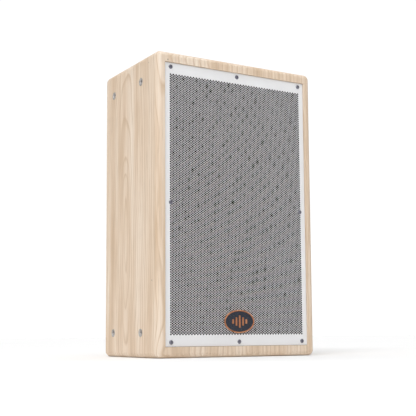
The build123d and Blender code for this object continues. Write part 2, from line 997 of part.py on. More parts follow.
def ports():
    """Two flared bass-reflex tubes."""
    front = baffle_front
    mouth = port_bore_radius + port_flare
    outline = (
        Polyline(
            (mouth, front),
            (port_flange_radius, front),
            (port_flange_radius, front + port_flange_thickness),
            (port_outer, front + port_flange_thickness),
            (port_outer, front + port_length),
            (port_bore_radius, front + port_length),
            (port_bore_radius, front + port_flare),
        )
        + RadiusArc((port_bore_radius, front + port_flare), (mouth, front), -port_flare)
    )
    tube = revolve(make_face(outline), Axis.Y)
    for side, name in ((-1, "left"), (1, "right")):
        write(f"port_tube_{name}", Pos(side * port_spread, 0, port_height) * tube)


def crossover():
    """The board on its standoffs, with air-core coils, film capacitors and ceramic resistors."""
    base = board_centre_height
    reach_x = board_width / 2 - standoff_edge
    reach_z = board_height / 2 - standoff_edge
    board = plate(0, base, board_front, board_back, board_width, board_height, 3)
    hole = small_screw_shank + screw_clearance
    standoffs = []
    for across in (-1, 1):
        for up in (-1, 1):
            x = across * reach_x
            z = base + up * reach_z
            board -= rod(x, z, board_front - 1, board_back + 1, hole)
            standoffs.append(ring(x, z, board_back, rear_inner, hole, standoff_radius))
            screw_length = board_thickness + standoff_height
            standoffs.append(
                pan_screw(
                    x,
                    z,
                    board_front,
                    small_screw_shank,
                    small_screw_head,
                    small_screw_dome,
                    screw_length,
                )
            )
    write("crossover_board", board)
    write("crossover_standoffs", *standoffs)

    coils = []
    for x, rise, outer, tall in ((-55, 15, 24, 20), (55, 15, 20, 16)):
        coils.append(ring(x, base + rise, board_front - tall, board_front, inductor_bore, outer))
    write("crossover_inductors", *coils)

    capacitors = []
    can_middle = board_front - capacitor_radius
    half = capacitor_length / 2
    for x, rise in ((-58, -30), (58, -30), (0, -12)):
        can = side_rod(x - half, x + half, can_middle, base + rise, capacitor_radius)
        capacitors.append(fillet(can.edges(), 1.2))
    write("crossover_capacitors", *capacitors)

    resistors = []
    half = resistor_length / 2
    for rise in (10, 26):
        low = base + rise - resistor_side / 2
        front = board_front - resistor_height
        resistors.append(block(-half, half, front, board_front, low, low + resistor_side))
    write("crossover_resistors", *resistors)


def input_cup():
    """The recessed cup, its gasket and screws, and two locking four-pole sockets."""
    middle = cup_centre_height
    rim_front = cup_rim_back - cup_flange_thickness
    floor_front = cup_floor - cup_wall
    cup = plate(
        0,
        middle,
        rim_front,
        cup_rim_back,
        cup_width + 2 * cup_flange,
        cup_height + 2 * cup_flange,
        cup_corner,
    )
    cup += plate(
        0,
        middle,
        floor_front,
        rim_front + 1,
        cup_width + 2 * cup_wall,
        cup_height + 2 * cup_wall,
        cup_corner + cup_wall,
    )
    cup -= plate(0, middle, cup_floor, cup_rim_back + 1, cup_width, cup_height, cup_corner)
    outer = cup_wall + cup_clearance
    gasket = plate(
        0,
        middle,
        rear_face,
        rim_front,
        cup_width + 2 * cup_flange,
        cup_height + 2 * cup_flange,
        cup_corner,
    ) - plate(
        0,
        middle,
        rear_face - 1,
        rim_front + 1,
        cup_width + 2 * outer,
        cup_height + 2 * outer,
        cup_corner + outer,
    )
    hole = small_screw_shank + screw_clearance
    screws = []
    for x, z in cup_screw_places():
        drill = rod(x, z, rear_face - 1, cup_rim_back + 1, hole)
        cup -= drill
        gasket -= drill
        screws.append(rear_screw(x, z, cup_rim_back, small_screw_length))
    sockets = []
    for side in (-1, 1):
        x = side * socket_spread
        z = middle + socket_rise
        face = cup_floor + socket_flange_thickness
        back = face - socket_depth - 2
        cup -= rod(x, z, floor_front - 1, cup_floor + 1, socket_barrel_radius + fit_clearance)
        size = (socket_flange_width, socket_flange_height, 3)
        socket = plate(x, z, cup_floor, face, *size)
        socket += rod(x, z, back, face, socket_barrel_radius)
        socket -= rod(x, z, face - socket_depth, face + 1, socket_bore_radius)
        core_end = face - socket_depth + socket_core_length
        socket += rod(x, z, back + 1, core_end, socket_core_radius)
        for across in (-1, 1):
            tab = x + across * socket_tab_spread
            low = tab - tab_thickness / 2
            tab_front = back - socket_tab_length
            socket += block(low, low + tab_thickness, tab_front, back + 1, z - 2, z + 2)
        sockets.append(socket)
    for side in (-1, 1):
        x = side * post_spacing / 2
        hole = post_stud_radius + fit_clearance
        cup -= rod(x, middle - post_drop, floor_front - 1, cup_floor + 1, hole)
    write("input_plate", cup)
    write("input_gasket", gasket)
    write("input_screws", *screws)
    write("input_sockets", *sockets)


def binding_posts():
    """Two studs with insulating collars and nuts, their clamp washers and their screw knobs."""
    z = cup_centre_height - post_drop
    collar_top = cup_floor + post_collar_height
    washer_low = collar_top + post_axial_gap
    washer_high = washer_low + post_washer_thickness
    knob_low = washer_high + post_axial_gap
    knob_high = knob_low + post_knob_length
    bore = post_stud_radius + post_running_clearance
    floor_front = cup_floor - cup_wall
    posts = []
    for side, name in ((-1, "red"), (1, "black")):
        x = side * post_spacing / 2
        post = rod(x, z, cup_floor, collar_top, post_collar_radius)
        post += rod(x, z, floor_front - post_tail, knob_high - 1, post_stud_radius)
        post -= rod(x, z, knob_high - 1 - post_plug_depth, knob_high, post_plug_radius)
        nut_face = plane_at(x, floor_front - post_nut_thickness, z)
        nut = extrude(nut_face * RegularPolygon(post_stud_radius * 2, 6), post_nut_thickness)
        posts.append(post)
        posts.append(nut - rod(x, z, floor_front - post_tail, cup_floor, bore))
        washer = ring(x, z, washer_low, washer_high, bore, post_washer_radius)
        write(f"post_washer_{name}", washer)
        knob = rod(x, z, knob_low, knob_high, post_knob_radius)
        knob = chamfer(knob.edges(), 0.8)
        for i in range(knob_flute_count):
            turn = i * 2 * math.pi / knob_flute_count
            groove_x = x + (post_knob_radius + 0.3) * math.cos(turn)
            groove_z = z + (post_knob_radius + 0.3) * math.sin(turn)
            knob -= rod(groove_x, groove_z, knob_low + 3, knob_high + 1, knob_flute_radius)
        knob -= rod(x, z, knob_low - 1, knob_high + 1, bore)
        write(f"post_knob_{name}", knob)
    write("binding_posts", *posts)


def internal_leads():
    """The pairs of leads from the input sockets to the board and on to the two drive units."""
    leads = []
    base = board_centre_height
    socket_y = cup_floor + socket_flange_thickness - socket_depth - 2 - socket_tab_length
    socket_z = cup_centre_height + socket_rise
    window_y = (baffle_back + rear_inner) / 2 + 25
    for side in (-1, 1):
        leads.append(
            lead(
                [
                    (side * woofer_tab_spread, woofer_tab_middle, woofer_tab_top),
                    (side * woofer_tab_spread, woofer_tab_middle, woofer_tab_top + 16),
                    (side * 14, woofer_tab_middle + 46, base + 44),
                    (side * 14, board_front, base + 44),
                ],
                14,
            )
        )
        leads.append(
            lead(
                [
                    (side * 30, board_front, base + 46),
                    (side * 30, board_front - 24, base + 46),
                    (side * 20, window_y, brace_top),
                    (side * driver_tab_spread, driver_tab_middle, driver_tab_end - 25),
                    (side * driver_tab_spread, driver_tab_middle, driver_tab_end),
                ],
                12,
            )
        )
        socket_x = side * (socket_spread + 5)
        leads.append(
            lead(
                [
                    (socket_x, socket_y, socket_z),
                    (socket_x, socket_y - 20, socket_z),
                    (side * 30, socket_y - 20, base - 44),
                    (side * 30, board_front, base - 44),
                ],
                12,
            )
        )
    write("internal_leads", *leads)


def lining():
    """Polyester lining on both side walls, above and below the brace."""
    slabs = []
    for side in (-1, 1):
        wall = sorted((side * opening_half, side * (opening_half - lining_thickness)))
        depth = (baffle_back + lining_margin, rear_inner - lining_margin)
        low = (opening_bottom + lining_margin, brace_bottom - lining_margin)
        high = (brace_top + lining_margin, opening_top - lining_margin)
        slabs.append(block(*wall, *depth, *low))
        slabs.append(block(*wall, *depth, *high))
    write("damping_lining", *slabs)


cabinet_boards()
rigging_inserts()
rear_board()
baffle_board()
window_brace()
grille_parts()
badge()
woofer_frame()
woofer_moving_parts()
woofer_motor()
horn_parts()
compression_driver()
ports()
crossover()
input_cup()
binding_posts()
internal_leads()
lining()
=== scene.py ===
import json
import math

import bpy
from mathutils import Matrix, Vector


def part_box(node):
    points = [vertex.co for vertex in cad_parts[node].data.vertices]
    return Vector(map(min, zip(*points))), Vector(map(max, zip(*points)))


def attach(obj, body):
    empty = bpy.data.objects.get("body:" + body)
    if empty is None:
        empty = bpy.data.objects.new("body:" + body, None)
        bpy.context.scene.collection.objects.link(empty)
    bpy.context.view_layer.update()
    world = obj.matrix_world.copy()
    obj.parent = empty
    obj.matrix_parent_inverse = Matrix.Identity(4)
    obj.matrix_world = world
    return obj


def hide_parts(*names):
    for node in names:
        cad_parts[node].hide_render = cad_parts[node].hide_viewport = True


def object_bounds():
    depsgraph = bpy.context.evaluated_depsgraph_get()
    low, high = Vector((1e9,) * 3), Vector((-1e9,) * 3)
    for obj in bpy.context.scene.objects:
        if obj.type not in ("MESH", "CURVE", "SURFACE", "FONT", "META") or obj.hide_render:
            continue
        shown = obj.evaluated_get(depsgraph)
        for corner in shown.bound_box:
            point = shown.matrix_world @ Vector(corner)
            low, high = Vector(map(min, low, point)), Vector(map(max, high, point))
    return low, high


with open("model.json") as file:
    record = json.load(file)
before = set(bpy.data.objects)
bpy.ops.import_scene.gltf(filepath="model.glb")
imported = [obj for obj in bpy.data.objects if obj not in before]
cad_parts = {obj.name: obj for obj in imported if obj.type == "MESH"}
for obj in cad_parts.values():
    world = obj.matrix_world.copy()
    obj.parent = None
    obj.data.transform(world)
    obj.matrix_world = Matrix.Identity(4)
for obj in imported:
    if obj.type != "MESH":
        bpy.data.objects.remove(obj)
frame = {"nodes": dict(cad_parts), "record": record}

MM = 0.001
CAD_BOX = [list(corner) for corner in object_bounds()]

# Perforation of the grille: staggered round holes
HOLE_RADIUS = 1.95 * MM
HOLE_SIDES = 12
WEB_DEPTH = 0.45 * MM
COLUMN_PITCH = 3.375 * MM
ROW_PITCH = 4.71 * MM
SIDE_MARGIN = 11.9 * MM
END_MARGIN = 22.4 * MM
GRILLE_BANDS = 4
EDGE_BREAK = 0.25 * MM

# Grille screws
SCREW_HEAD_RADIUS = 4.4 * MM
SCREW_DOME = 2.6 * MM
SCREW_SHANK_RADIUS = 2.0 * MM
SCREW_POINT = 3.0 * MM

# Oval badge
BADGE_SEGMENTS = 96
BADGE_RIM_WIDTH = 2.6 * MM
BADGE_PLATE_RISE = 2.0 * MM
RIM_ROLL_STEPS = 8

# Threaded inserts in the sides
INSERT_SPACING = 130.0 * MM
INSERT_LENGTH = 16.0 * MM
INSERT_BODY_RADIUS = 7.0 * MM
INSERT_FLANGE = 1.5 * MM
INSERT_MOUTH_RADIUS = 6.2 * MM
BORE_DEPTH = 14.0 * MM
THREAD_ROOT_RADIUS = 5.0 * MM
THREAD_CREST_RADIUS = 4.4 * MM
THREAD_PITCH = 1.5 * MM
THREAD_TURNS = 8

# Figure of the veneer
RINGS_PER_METRE = 110.0
RING_WANDER = 6.5
RING_CENTRE = (-0.195, 0.015, 0.22)
LATE_WOOD_DEPTH = 0.85
KNOT_FLATTENING = 0.8


# ---------------------------------------------------------------- materials


def typed(sockets, name, kind):
    """The socket of a name and a type, on a node that has one of that name for each type."""
    return next(s for s in sockets if s.name == name and s.type == kind)


class Shade:
    """A procedural material: a principled shader with helpers for the nodes that feed it."""

    def __init__(self, name, roughness=0.5, metallic=0.0, coat=0.0, sheen=0.0):
        self.material = bpy.data.materials.new(name)
        self.material.use_nodes = True
        self.nodes = self.material.node_tree.nodes
        self.links = self.material.node_tree.links
        self.bsdf = self.nodes["Principled BSDF"]
        self.bsdf.inputs["Roughness"].default_value = roughness
        self.bsdf.inputs["Metallic"].default_value = metallic
        self.bsdf.inputs["Coat Weight"].default_value = coat
        self.bsdf.inputs["Sheen Weight"].default_value = sheen
        self.coords = self.nodes.new("ShaderNodeTexCoord").outputs["Object"]
        self.relief = None

    def feed(self, socket, value):
        """Links a socket or sets a constant."""
        if isinstance(value, bpy.types.NodeSocket):
            self.links.new(value, socket)
        elif value is not None:
            socket.default_value = value

    def scaled(self, scale, source=None):
        mapping = self.nodes.new("ShaderNodeMapping")
        mapping.inputs["Scale"].default_value = scale
        self.feed(mapping.inputs["Vector"], source or self.coords)
        return mapping.outputs["Vector"]

    def noise(self, scale, vector=None, detail=3.0, roughness=0.55, distortion=0.0):
        node = self.nodes.new("ShaderNodeTexNoise")
        node.inputs["Scale"].default_value = scale
        node.inputs["Detail"].default_value = detail
        node.inputs["Roughness"].default_value = roughness
        node.inputs["Distortion"].default_value = distortion
        self.feed(node.inputs["Vector"], vector or self.coords)
        return node.outputs["Fac"]

    def cells(self, scale):
        node = self.nodes.new("ShaderNodeTexVoronoi")
        node.inputs["Scale"].default_value = scale
        self.feed(node.inputs["Vector"], self.coords)
        return node.outputs["Distance"]

    def split(self, vector):
        """The X, Y and Z of a vector, by name."""
        node = self.nodes.new("ShaderNodeSeparateXYZ")
        self.feed(node.inputs["Vector"], vector)
        return node.outputs

    def vector_maths(self, operation, first, second=(0.0, 0.0, 0.0)):
        node = self.nodes.new("ShaderNodeVectorMath")
        node.operation = operation
        self.feed(node.inputs[0], first)
        node.inputs[1].default_value = second
        return node.outputs

    def maths(self, operation, first, second=0.0, third=0.0):
        node = self.nodes.new("ShaderNodeMath")
        node.operation = operation
        for socket, value in zip(node.inputs, (first, second, third)):
            self.feed(socket, value)
        return node.outputs["Value"]

    def ramp(self, factor, *stops):
        """Colours at places along 0 to 1; a single number stands for a grey."""
        node = self.nodes.new("ShaderNodeValToRGB")
        elements = node.color_ramp.elements
        while len(elements) < len(stops):
            elements.new(0.5)
        for element, (place, colour) in zip(elements, stops):
            element.position = place
            grey = isinstance(colour, (int, float))
            element.color = (colour, colour, colour, 1.0) if grey else (*colour, 1.0)
        self.feed(node.inputs["Fac"], factor)
        return node.outputs["Color"]

    def mix(self, factor, first, second):
        node = self.nodes.new("ShaderNodeMix")
        node.data_type = "RGBA"
        self.feed(node.inputs["Factor"], factor)
        for name, value in (("A", first), ("B", second)):
            value = (*value, 1.0) if isinstance(value, tuple) else value
            self.feed(typed(node.inputs, name, "RGBA"), value)
        return typed(node.outputs, "Result", "RGBA")

    def colour(self, value):
        """Sets the base colour."""
        self.feed(self.bsdf.inputs["Base Color"], value)

    def rough(self, factor, low, high):
        """Lets the roughness run from low to high with a factor of 0 to 1."""
        node = self.nodes.new("ShaderNodeMapRange")
        node.inputs["To Min"].default_value = low
        node.inputs["To Max"].default_value = high
        self.feed(node.inputs["Value"], factor)
        self.feed(self.bsdf.inputs["Roughness"], node.outputs["Result"])

    def bump(self, height, distance, strength):
        """Adds relief, on top of any that is already there."""
        node = self.nodes.new("ShaderNodeBump")
        node.inputs["Strength"].default_value = strength
        node.inputs["Distance"].default_value = distance
        self.feed(node.inputs["Height"], height)
        if self.relief is not None:
            self.feed(node.inputs["Normal"], self.relief)
        self.relief = node.outputs["Normal"]
        self.feed(self.bsdf.inputs["Normal"], self.relief)


def knots():
    """Places and radii of the pin knots, on the faces and edges of the cabinet."""
    (left, front, _), (right, _, _) = CAD_BOX
    return (
        ((left, -0.102, 0.153), 2.0 * MM),
        ((left, -0.088, 0.598), 1.6 * MM),
        ((-0.166, front, 0.598), 2.2 * MM),
        ((0.186, -0.123, 0.236), 2.6 * MM),
        ((right, 0.031, 0.415), 2.4 * MM),
        ((-0.070, 0.117, 0.480), 2.4 * MM),
    )


def grain_vector(shade):
    """Coordinates whose Z runs along the grain: up the walls, and across on the top and base."""
    geometry = shade.nodes.new("ShaderNodeNewGeometry")
    normal = shade.split(geometry.outputs["Normal"])
    flat = shade.maths("GREATER_THAN", shade.maths("ABSOLUTE", normal["Z"]), 0.75)
    place = shade.split(shade.coords)
    turned = shade.nodes.new("ShaderNodeCombineXYZ")
    for target, source in zip("XYZ", "ZYX"):
        shade.feed(turned.inputs[target], place[source])
    choose = shade.nodes.new("ShaderNodeMix")
    choose.data_type = "VECTOR"
    shade.feed(choose.inputs["Factor"], flat)
    shade.feed(typed(choose.inputs, "A", "VECTOR"), shade.coords)
    shade.feed(typed(choose.inputs, "B", "VECTOR"), turned.outputs["Vector"])
    return typed(choose.outputs, "Result", "VECTOR")


def growth_rings(shade, grain):
    """How far each point is into the dark late wood of its ring, 0 to 1."""
    sway = shade.noise(3.2, shade.scaled((2.2, 2.2, 0.9), grain), detail=2.0)
    offset = shade.vector_maths("SUBTRACT", grain, RING_CENTRE)["Vector"]
    rings_at = shade.scaled((1.0, 1.0, 0.115), offset)
    length = shade.vector_maths("LENGTH", rings_at)["Value"]
    wander = shade.maths("MULTIPLY", sway, RING_WANDER)
    rings = shade.maths("MULTIPLY_ADD", length, RINGS_PER_METRE, wander)
    waves = shade.maths("FRACT", rings)
    return shade.ramp(waves, (0.0, 0.0), (0.66, 0.10), (0.90, 1.0), (1.0, 0.0))


def with_knots(shade, colour, heart):
    """The colour with its pin knots, dark at the heart."""
    for place, radius in knots():
        x, y, z = place
        spread = shade.scaled((1.0, 1.0, KNOT_FLATTENING))
        gap = shade.vector_maths("DISTANCE", spread, (x, y, z * KNOT_FLATTENING))["Value"]
        spot = shade.maths("DIVIDE", gap, radius)
        weight = shade.ramp(spot, (0.25, 0.75), (0.6, 0.35), (1.0, 0.0))
        colour = shade.mix(weight, colour, heart)
    return colour


def wood(name, pale, mid, dark, lacquer):
    """Pale straight-grained veneer with a gentle cathedral figure, pores and a few pin knots."""
    shade = Shade(name, roughness=0.5, coat=lacquer)
    shade.bsdf.inputs["Coat Roughness"].default_value = 0.35
    grain = grain_vector(shade)
    late = growth_rings(shade, grain)
    broad = shade.noise(9.0, shade.scaled((3.0, 3.0, 0.28), grain), detail=3.0, distortion=0.3)
    streak = shade.noise(60.0, shade.scaled((2.4, 2.4, 0.05), grain), detail=4.0, roughness=0.7)
    pores = shade.noise(420.0, shade.scaled((2.0, 2.0, 0.045), grain), detail=2.0)
    colour = shade.ramp(broad, (0.30, dark), (0.46, mid), (0.66, pale))
    colour = shade.mix(shade.maths("MULTIPLY", late, LATE_WOOD_DEPTH), colour, dark)
    colour = shade.mix(shade.ramp(streak, (0.42, 0.0), (0.70, 0.55)), colour, dark)
    colour = shade.mix(shade.ramp(streak, (0.26, 0.60), (0.46, 0.0)), colour, pale)
    pore_colour = tuple(0.6 * c for c in dark)
    colour = shade.mix(shade.ramp(pores, (0.55, 0.0), (0.74, 0.50)), colour, pore_colour)
    colour = with_knots(shade, colour, tuple(0.35 * c for c in dark))
    shade.colour(colour)
    shade.rough(streak, 0.42, 0.62)
    shade.bump(pores, 0.05 * MM, 0.35)
    shade.bump(streak, 0.05 * MM, 0.3)
    return shade.material


def powder_coat(name, colour, dark):
    """Fine orange-peel powder coat with slight tone drift."""
    shade = Shade(name, roughness=0.42)
    drift = shade.noise(14.0, detail=3.0)
    shade.colour(shade.ramp(drift, (0.3, dark), (0.7, colour)))
    peel = shade.noise(900.0, detail=2.0)
    shade.rough(peel, 0.36, 0.52)
    shade.bump(peel, 0.03 * MM, 0.45)
    return shade.material


def foam(name):
    """Open-cell foam: a dark sponge of small pits, with painted shade deepening the pits."""
    shade = Shade(name, roughness=1.0)
    shade.bsdf.inputs["Specular IOR Level"].default_value = 0.2
    pits = shade.cells(700.0)
    # Painted shade: the colour is darkest at the cell centres, where the bump makes the pits.
    shade.colour(shade.ramp(pits, (0.1, 0.002), (0.7, 0.016)))
    shade.bump(pits, 0.5 * MM, 0.9)
    return shade.material


def metal(name, colour, worn, roughness, brush=(1.0, 1.0, 1.0)):
    """Plated or brushed metal with fine scratches and a soft tarnish."""
    shade = Shade(name, roughness=roughness, metallic=1.0)
    scratch = shade.noise(700.0, shade.scaled(brush), detail=3.0)
    stain = shade.noise(60.0, detail=4.0)
    shade.colour(shade.ramp(stain, (0.32, worn), (0.66, colour)))
    shade.rough(scratch, roughness * 0.75, roughness * 1.35)
    shade.bump(scratch, 0.015 * MM, 0.4)
    return shade.material


def enamel(name, colour, fleck):
    """Glossy lacquer with a faint fleck under a clear coat."""
    shade = Shade(name, roughness=0.25, coat=0.6)
    grains = shade.cells(2200.0)
    shade.colour(shade.ramp(grains, (0.05, fleck), (0.35, colour)))
    cloud = shade.noise(90.0, detail=3.0)
    shade.rough(cloud, 0.18, 0.34)
    return shade.material


def plastic(name, colour, light, roughness=0.5, texture=0.06):
    """Moulded plastic with spark texture and slight handling shine."""
    shade = Shade(name, roughness=roughness)
    spark = shade.noise(1400.0, detail=3.0, roughness=0.7)
    cloud = shade.noise(35.0, detail=4.0)
    shade.colour(shade.ramp(cloud, (0.35, colour), (0.75, light)))
    shade.rough(cloud, roughness * 0.8, roughness * 1.2)
    shade.bump(spark, texture * MM, 0.5)
    return shade.material


def pulp(name):
    """Pressed paper pulp with loose fibres."""
    shade = Shade(name, roughness=0.85, sheen=0.1)
    fibres = shade.noise(260.0, shade.scaled((1.0, 3.0, 1.0)), detail=5.0, distortion=1.5)
    shade.colour(shade.ramp(fibres, (0.35, 0.018), (0.62, 0.045), (0.8, 0.09)))
    shade.bump(fibres, 0.2 * MM, 0.6)
    return shade.material


def woven(name, dark, light, pitch):
    """Plain-woven cloth: two crossing sets of threads, with painted shade where the threads dip."""
    shade = Shade(name, roughness=0.9, sheen=0.25)
    place = shade.split(shade.coords)
    turn = 2 * math.pi / pitch
    warp = shade.maths("SINE", shade.maths("MULTIPLY", place["X"], turn))
    weft = shade.maths("SINE", shade.maths("MULTIPLY", place["Z"], turn))
    weave = shade.maths("MULTIPLY_ADD", shade.maths("MULTIPLY", warp, weft), 0.5, 0.5)
    # Painted shade: the colour darkens where the weave height is low, in the dips between crossing
    # threads.
    shade.colour(shade.ramp(weave, (0.1, dark), (0.9, light)))
    shade.bump(weave, 0.15 * MM, 0.7)
    return shade.material


def wound(name):
    """Lacquered copper winding: close turns of wire about the Y axis, with painted shade in the
    grooves between turns.
    """
    shade = Shade(name, roughness=0.3, metallic=0.9, coat=0.5)
    place = shade.split(shade.coords)
    turns = shade.maths("MULTIPLY", place["Y"], 2 * math.pi / (0.7 * MM))
    wire = shade.maths("MULTIPLY_ADD", shade.maths("SINE", turns), 0.5, 0.5)
    # Painted shade: the colour falls to a deep brown in the grooves between turns, where the bump
    # also dips.
    shade.colour(shade.ramp(wire, (0.0, (0.20, 0.06, 0.02)), (0.8, (0.68, 0.32, 0.15))))
    shade.bump(wire, 0.2 * MM, 0.9)
    return shade.material


def stone(name, dark, light, scale):
    """Sintered or cast mineral: fine speckle with small pits."""
    shade = Shade(name, roughness=0.7)
    speckle = shade.noise(scale, detail=5.0, roughness=0.7)
    shade.colour(shade.ramp(speckle, (0.35, dark), (0.7, light)))
    shade.bump(speckle, 0.1 * MM, 0.5)
    return shade.material


def fleece(name):
    """Loose polyester wadding."""
    shade = Shade(name, roughness=1.0, sheen=0.6)
    tufts = shade.noise(120.0, detail=6.0, roughness=0.75, distortion=2.0)
    shade.colour(shade.ramp(tufts, (0.3, (0.42, 0.42, 0.40)), (0.7, (0.80, 0.80, 0.77))))
    shade.bump(tufts, 2.5 * MM, 0.8)
    return shade.material


def make_materials():
    """Every material by its short name, most of them a record slot's."""
    veneer = ((0.90, 0.775, 0.645), (0.80, 0.640, 0.490), (0.640, 0.470, 0.320))
    bare = ((0.62, 0.47, 0.31), (0.54, 0.39, 0.24), (0.42, 0.28, 0.16))
    steel = (0.52, 0.52, 0.53)
    return {
        "wood": wood("veneer", *veneer, 0.12),
        "ply": wood("bare_birch", *bare, 0.0),
        "grille": powder_coat("white_powder", (0.86, 0.86, 0.87), (0.82, 0.82, 0.83)),
        "foam": foam("black_foam"),
        "screw": metal("dark_screw", (0.26, 0.26, 0.30), (0.17, 0.17, 0.21), 0.28),
        "insert": metal("zinc_insert", (0.60, 0.58, 0.56), (0.44, 0.42, 0.41), 0.55),
        "badge_dark": enamel("dark_enamel", (0.012, 0.016, 0.030), (0.05, 0.06, 0.10)),
        "copper": metal("satin_copper", (0.78, 0.36, 0.19), (0.55, 0.22, 0.11), 0.34),
        "cast": powder_coat("black_crackle", (0.020, 0.020, 0.022), (0.012, 0.012, 0.013)),
        "cork": stone("gasket_foam", (0.012, 0.012, 0.012), (0.05, 0.05, 0.05), 900.0),
        "cone": pulp("paper_cone"),
        "cloth": woven("doped_cloth", (0.02, 0.018, 0.015), (0.09, 0.08, 0.065), 1.2 * MM),
        "coil": wound("copper_winding"),
        "steel": metal("plated_steel", steel, (0.36, 0.36, 0.36), 0.35, (1.0, 0.1, 1.0)),
        "ferrite": stone("ferrite", (0.018, 0.018, 0.020), (0.07, 0.07, 0.075), 500.0),
        "abs": plastic("black_moulding", (0.012, 0.012, 0.013), (0.030, 0.030, 0.032), 0.48),
        "titanium": metal("titanium", (0.55, 0.52, 0.48), (0.42, 0.39, 0.36), 0.3),
        "board": enamel("solder_mask", (0.010, 0.10, 0.035), (0.02, 0.16, 0.06)),
        "film": plastic("yellow_film", (0.52, 0.33, 0.04), (0.66, 0.45, 0.08), 0.3, 0.02),
        "cement": stone("white_cement", (0.55, 0.53, 0.48), (0.80, 0.78, 0.72), 700.0),
        "red": plastic("red_knob", (0.42, 0.008, 0.008), (0.55, 0.02, 0.015), 0.32, 0.02),
        "black": plastic("black_knob", (0.010, 0.010, 0.011), (0.028, 0.028, 0.030), 0.32, 0.02),
        "gold": metal("gold_plate", (0.86, 0.60, 0.22), (0.70, 0.45, 0.15), 0.22),
        "lead": plastic("lead_insulation", (0.30, 0.010, 0.008), (0.42, 0.02, 0.015), 0.4, 0.02),
        "fleece": fleece("wadding"),
    }


def dress_cad_nodes(materials):
    """Gives every CAD node the procedural material of its record slot."""
    slots = {s["node"]: s["material_slot"] for s in frame["record"]["subparts"]}
    for node, thing in frame["nodes"].items():
        thing.data.materials.clear()
        thing.data.materials.append(materials[slots[node]])


# ------------------------------------------------------------------- meshes


def add_piece(name, vertices, faces, material, body, slot, smooth=None):
    """A mesh object that rides on a body. The slot argument is not used."""
    mesh = bpy.data.meshes.new(name)
    mesh.from_pydata(vertices, [], faces)
    mesh.update()
    mesh.materials.append(material)
    piece = bpy.data.objects.new(name, mesh)
    bpy.context.scene.collection.objects.link(piece)
    if smooth is not None:
        mesh.shade_smooth()
        mesh.set_sharp_from_angle(angle=math.radians(smooth))
    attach(piece, body)
    return piece


def lathe(profile, centre, axis, segments=48):
    """Vertices and faces of (radius, height) points turned about an axis through centre."""
    along = Vector(axis)
    side = along.orthogonal().normalized()
    up = along.cross(side)
    vertices = []
    faces = []
    rings = []
    for radius, height in profile:
        base = Vector(centre) + along * height
        if radius == 0.0:
            rings.append([len(vertices)] * segments)
            vertices.append(base)
            continue
        rings.append([len(vertices) + i for i in range(segments)])
        for i in range(segments):
            turn = 2 * math.pi * i / segments
            vertices.append(base + radius * (side * math.cos(turn) + up * math.sin(turn)))
    for low, high in zip(rings, rings[1:]):
        for i in range(segments):
            j = (i + 1) % segments
            corners = (low[i], low[j], high[j], high[i])
            faces.append(tuple(dict.fromkeys(corners)))
    return vertices, faces


def join(parts):
    """Several vertex and face lists as one."""
    vertices = []
    faces = []
    for part_vertices, part_faces in parts:
        start = len(vertices)
        vertices += part_vertices
        faces += [tuple(start + i for i in face) for face in part_faces]
    return vertices, faces


def grille_strip(columns, last, rows, corner, front, back):
    """Some columns of the perforated sheet: hexagonal cells, each with its hole's wall.

    last is the number of the sheet's last column. Odd columns are raised by half a row.
    """
    left, bottom = corner
    vertices = []
    faces = []
    index = {}
    depths = (front, back)
    half = ROW_PITCH / 2
    tip, notch = hexagon_reaches()

    def point(x, z, side):
        key = (round(x * 1e7), round(z * 1e7), side)
        if key not in index:
            index[key] = len(vertices)
            vertices.append((x, depths[side], z))
        return index[key]

    def panel(outline):
        for side in (0, 1):
            ids = [point(x, z, side) for x, z in outline]
            faces.append(tuple(ids if side == 0 else reversed(ids)))

    arc = [2 * math.pi * i / HOLE_SIDES for i in range(HOLE_SIDES)]
    step = HOLE_SIDES // 6
    top = bottom + rows * ROW_PITCH
    for column in columns:
        x = left + tip + column * COLUMN_PITCH
        raised = column % 2
        if raised:
            for edge, inner in ((bottom, bottom + half), (top, top - half)):
                panel([(x - tip, edge), (x - notch, inner), (x + notch, inner), (x + tip, edge)])
        for row in range(rows - raised):
            z = bottom + half + row * ROW_PITCH + raised * half
            if column in (0, last):
                side = -1 if column == 0 else 1
                for up in (-1, 1):
                    outline = [(x + side * tip, z), (x + side * notch, z + up * half)]
                    panel([*outline, (x + side * tip, z + up * half)])
            rim = [
                (x + HOLE_RADIUS * math.cos(turn), z + HOLE_RADIUS * math.sin(turn))
                for turn in arc
            ]
            cell = [
                (x + tip, z),
                (x + notch, z + half),
                (x - notch, z + half),
                (x - tip, z),
                (x - notch, z - half),
                (x + notch, z - half),
            ]
            for i, (here, there) in enumerate(zip(cell, cell[1:] + cell[:1])):
                inner = [rim[k % HOLE_SIDES] for k in range((i + 1) * step, i * step - 1, -1)]
                panel([here, there, *inner])
            for here, there in zip(rim, rim[1:] + rim[:1]):
                outline = [(here, 1), (there, 1), (there, 0), (here, 0)]
                faces.append(tuple(point(*place, side) for place, side in outline))
    return vertices, faces


def hexagon_reaches():
    """Half the width of a hole's hexagonal cell, at its middle and at its flat ends."""
    half = ROW_PITCH / 2
    meet = (COLUMN_PITCH**2 + half**2) / 2
    return meet / COLUMN_PITCH, (meet - half**2) / COLUMN_PITCH


def planar_map(piece):
    """A flat map over the front, so that a piece of many holes keeps its own layout."""
    mesh = piece.data
    layer = mesh.uv_layers.new(name="OFBake")
    low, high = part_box("grille")
    span = high[2] - low[2]
    for loop, place in zip(mesh.loops, layer.data):
        x, _, z = mesh.vertices[loop.vertex_index].co
        place.uv = ((x - low[0]) / span, (z - low[2]) / span)


